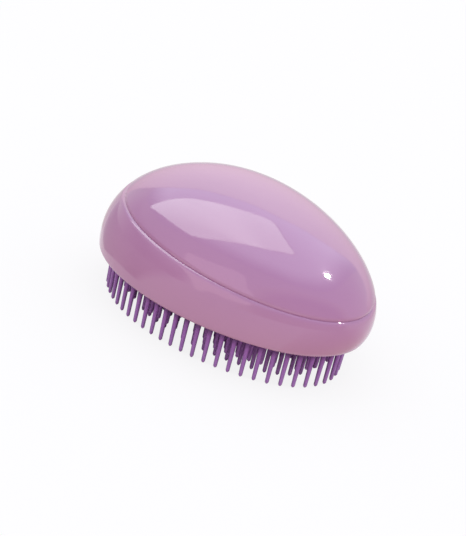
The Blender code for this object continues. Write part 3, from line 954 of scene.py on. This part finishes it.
def seenBy(tree, *rays):
    # 1 for the named rays and 0 for the rest
    path = addNode(tree, "ShaderNodeLightPath")
    total = path.outputs[rays[0]]
    for ray in rays[1:]:
        total = doMath(tree, "MAXIMUM", total, path.outputs[ray])
    return total


def mixColour(tree, share, first, second):
    inputs = {"Factor": share, firstColour: first, secondColour: second}
    return addNode(tree, "ShaderNodeMix", inputs, data_type="RGBA").outputs[mixedColour]


def mixShaders(tree, share, first, second):
    inputs = {0: share, 1: first.outputs[0], 2: second.outputs[0]}
    return addNode(tree, "ShaderNodeMixShader", inputs).outputs[0]


def sideShares(tree, place, stops):
    # a share for each bearing in degrees, even between the stops
    bearing = doMath(tree, "ARCTAN2", place.outputs["Y"], place.outputs["X"])
    greys = [(degrees / 360 + 0.5, (share, share, share, 1.0)) for degrees, share in stops]
    return colourRamp(tree, mapped(tree, bearing, (-math.pi, math.pi)), greys)


def stageFinish(name):
    finish = bpy.data.materials.new(name)
    finish.use_nodes = True
    finish.node_tree.nodes.clear()
    return finish, finish.node_tree


def endMaterial(tree, shader, kind="ShaderNodeOutputMaterial"):
    addNode(tree, kind, {"Surface": shader})


def makeFloor(look):
    finish, tree = stageFinish("floorWhite")
    bounced = seenBy(tree, "Is Diffuse Ray")
    # painted shadow under the comb: the floor's glow for diffuse and mirror rays fades in from the comb's
    # middle outwards
    fromComb = addNode(tree, "ShaderNodeVectorMath", {0: objectPlace(tree)}, operation="LENGTH")
    clearOfPaintedShadow = mapped(tree, fromComb.outputs["Value"], look["paintedShadowSpan"], kind="SMOOTHSTEP")
    matteColour = mixColour(tree, bounced, look["floorColour"], look["bounceColour"])
    matte = addNode(tree, "ShaderNodeBsdfDiffuse", {"Color": matteColour})
    glowColour = mixColour(tree, bounced, plainWhite, look["bounceColour"])
    glow = addNode(tree, "ShaderNodeEmission", {"Color": glowColour})
    mirrored = doMath(tree, "MULTIPLY", seenBy(tree, "Is Glossy Ray", "Is Transmission Ray"), clearOfPaintedShadow)
    seen = doMath(tree, "MAXIMUM", seenBy(tree, "Is Camera Ray"), mirrored)
    plain = doMath(tree, "MULTIPLY", seen, look["floorGlow"])
    sentBack = doMath(tree, "MULTIPLY", doMath(tree, "MULTIPLY", bounced, look["bounceGlow"]), clearOfPaintedShadow)
    endMaterial(tree, mixShaders(tree, doMath(tree, "ADD", plain, sentBack), matte, glow))
    half = look["floorSize"] / 2
    corners = [(-half, -half, 0), (half, -half, 0), (half, half, 0), (-half, half, 0)]
    floor = meshPiece("studioFloor", corners, [(0, 1, 2, 3)], finish)


def hideFromView(card, lightsMatte=False):
    # a card shows in the gloss, and the matte light passes it unless it is said to count there
    card.visible_camera = False
    card.visible_shadow = False
    card.visible_diffuse = lightsMatte


def directionsOf(angles):
    # unit vectors towards bearings and elevations in degrees
    b, e = np.radians(np.array(angles, dtype=float)).T
    return np.stack([np.cos(b) * np.cos(e), np.sin(b) * np.cos(e), np.sin(e)], axis=-1)


def smoothLoop(corners, steps):
    # a closed line that passes smoothly through the corners
    before, after, beyond = (np.roll(corners, shift, axis=0) for shift in (1, -1, -2))
    squared = 2 * before - 5 * corners + 4 * after - beyond
    cubed = 3 * corners - before - 3 * after + beyond
    shares = np.arange(steps) / steps
    parts = [corners + ((after - before) * t + squared * t**2 + cubed * t**3) / 2 for t in shares]
    return np.stack(parts, axis=1).reshape(-1, 3)


def makeCard(name, look, centre):
    # rings from the card's middle out to its edge, all at one distance, so that cards never cross
    middle = directionsOf(look["middle"])
    edge = smoothLoop(directionsOf(look["corners"]), studio["cardEdgeSteps"])
    shares = np.arange(1, studio["cardRings"] + 1) / studio["cardRings"]
    rays = np.concatenate([middle[None], *(middle + (edge - middle) * share for share in shares)])
    points = rays / np.linalg.norm(rays, axis=1)[:, None] * look["distance"] + np.array(centre)
    finish, tree = stageFinish(name)
    place = addNode(tree, "ShaderNodeSeparateXYZ", {0: objectPlace(tree)})
    limits = float(points[:, 2].min()), float(points[:, 2].max())
    climb = mapped(tree, place.outputs["Z"], limits)
    colour = mixColour(tree, climb, look["lowColour"], look["highColour"])
    level = mapped(tree, place.outputs["Z"], limits, look["levels"])
    if "sideStops" in look:
        level = doMath(tree, "MULTIPLY", level, sideShares(tree, place, look["sideStops"]))
    fromMiddle = addNode(tree, "ShaderNodeAttribute", attribute_name="fromMiddle").outputs["Fac"]
    inside = mapped(tree, fromMiddle, (1.0, 1.0 - look["softEdge"]), kind="SMOOTHSTEP")
    over = doMath(tree, "MULTIPLY", doMath(tree, "SUBTRACT", level, 1.0), inside)
    glow = addNode(tree, "ShaderNodeEmission", {"Color": colour, "Strength": doMath(tree, "ADD", over, 1.0)})
    endMaterial(tree, glow.outputs[0])
    faces = ringBands(len(shares), len(edge), start=1) + poleFan(1, len(edge), 0)
    card = meshPiece(name, points, faces, finish)
    marks = card.data.attributes.new("fromMiddle", "FLOAT", "POINT")
    marks.data.foreach_set("value", [0.0, *np.repeat(shares, len(edge))])
    hideFromView(card)


def sheetFinish(name, look, stops):
    finish, tree = stageFinish(name)
    inputs = {0: objectPlace(tree), 1: sheetMiddle}
    place = addNode(tree, "ShaderNodeVectorMath", inputs, operation="SUBTRACT").outputs[0]
    apart = addNode(tree, "ShaderNodeSeparateXYZ", {0: place})
    upwards = mapped(tree, apart.outputs["Z"], look["fadeHeights"])
    share = doMath(tree, "MAXIMUM", sideShares(tree, apart, stops), upwards)
    colour = mixColour(tree, share, look["colour"], plainWhite)
    strength = doMath(tree, "MULTIPLY_ADD", share, 1.0 - look["level"], look["level"])
    glow = addNode(tree, "ShaderNodeEmission", {"Color": colour, "Strength": strength})
    endMaterial(tree, glow.outputs[0])
    return finish


def makeSheet(name, look):
    reach = look["reach"]
    near = [(x, y, sheetLift) for x, y in look["nearPoints"]]
    turns = [math.radians(b) for b in look["bearings"]]
    far = [(x + reach * math.cos(b), y + reach * math.sin(b), sheetLift) for (x, y, _), b in zip(near, turns)]
    top = [(x, y, look["height"]) for x, y, _ in far]
    count = len(near)
    faces = [(i, i + 1, count + i + 1, count + i) for i in range(count - 1)]
    lying = sheetFinish(name + "Floor", look, look["floorStops"])
    hideFromView(meshPiece(name + "Floor", near + far, faces, lying))
    standing = sheetFinish(name + "Wall", look, look["wallStops"])
    wallFaces = faces[look["wallFrom"]:]
    hideFromView(meshPiece(name + "Wall", far + top, wallFaces, standing), look["wallLightsMatte"])


def makeWorld(look):
    world = bpy.data.worlds.new("studioWorld")
    bpy.context.scene.world = world
    world.use_nodes = True
    tree = world.node_tree
    tree.nodes.clear()
    direction = addNode(tree, "ShaderNodeTexCoord").outputs["Generated"]
    height = addNode(tree, "ShaderNodeSeparateXYZ", {0: direction}).outputs["Z"]
    climb = mapped(tree, height, (0.0, look["skyTop"]))
    skyColour = mixColour(tree, climb, look["horizonColour"], look["skyColour"])
    ambient = addNode(tree, "ShaderNodeBackground", {"Color": skyColour, "Strength": look["skyLevel"]})
    white = addNode(tree, "ShaderNodeBackground", {"Color": plainWhite, "Strength": 1.0})
    seen = seenBy(tree, "Is Camera Ray", "Is Glossy Ray", "Is Transmission Ray")
    endMaterial(tree, mixShaders(tree, seen, ambient, white), "ShaderNodeOutputWorld")


makeFloor(studio)
for name, look in cards.items():
    makeCard(name, look, studio["centre"])
for name, look in sheets.items():
    makeSheet(name, look)
makeWorld(studio)
bpy.context.scene.view_settings.view_transform = "Standard"
print("studio: floor, world,", len(cards), "cards and", len(sheets), "sheets")
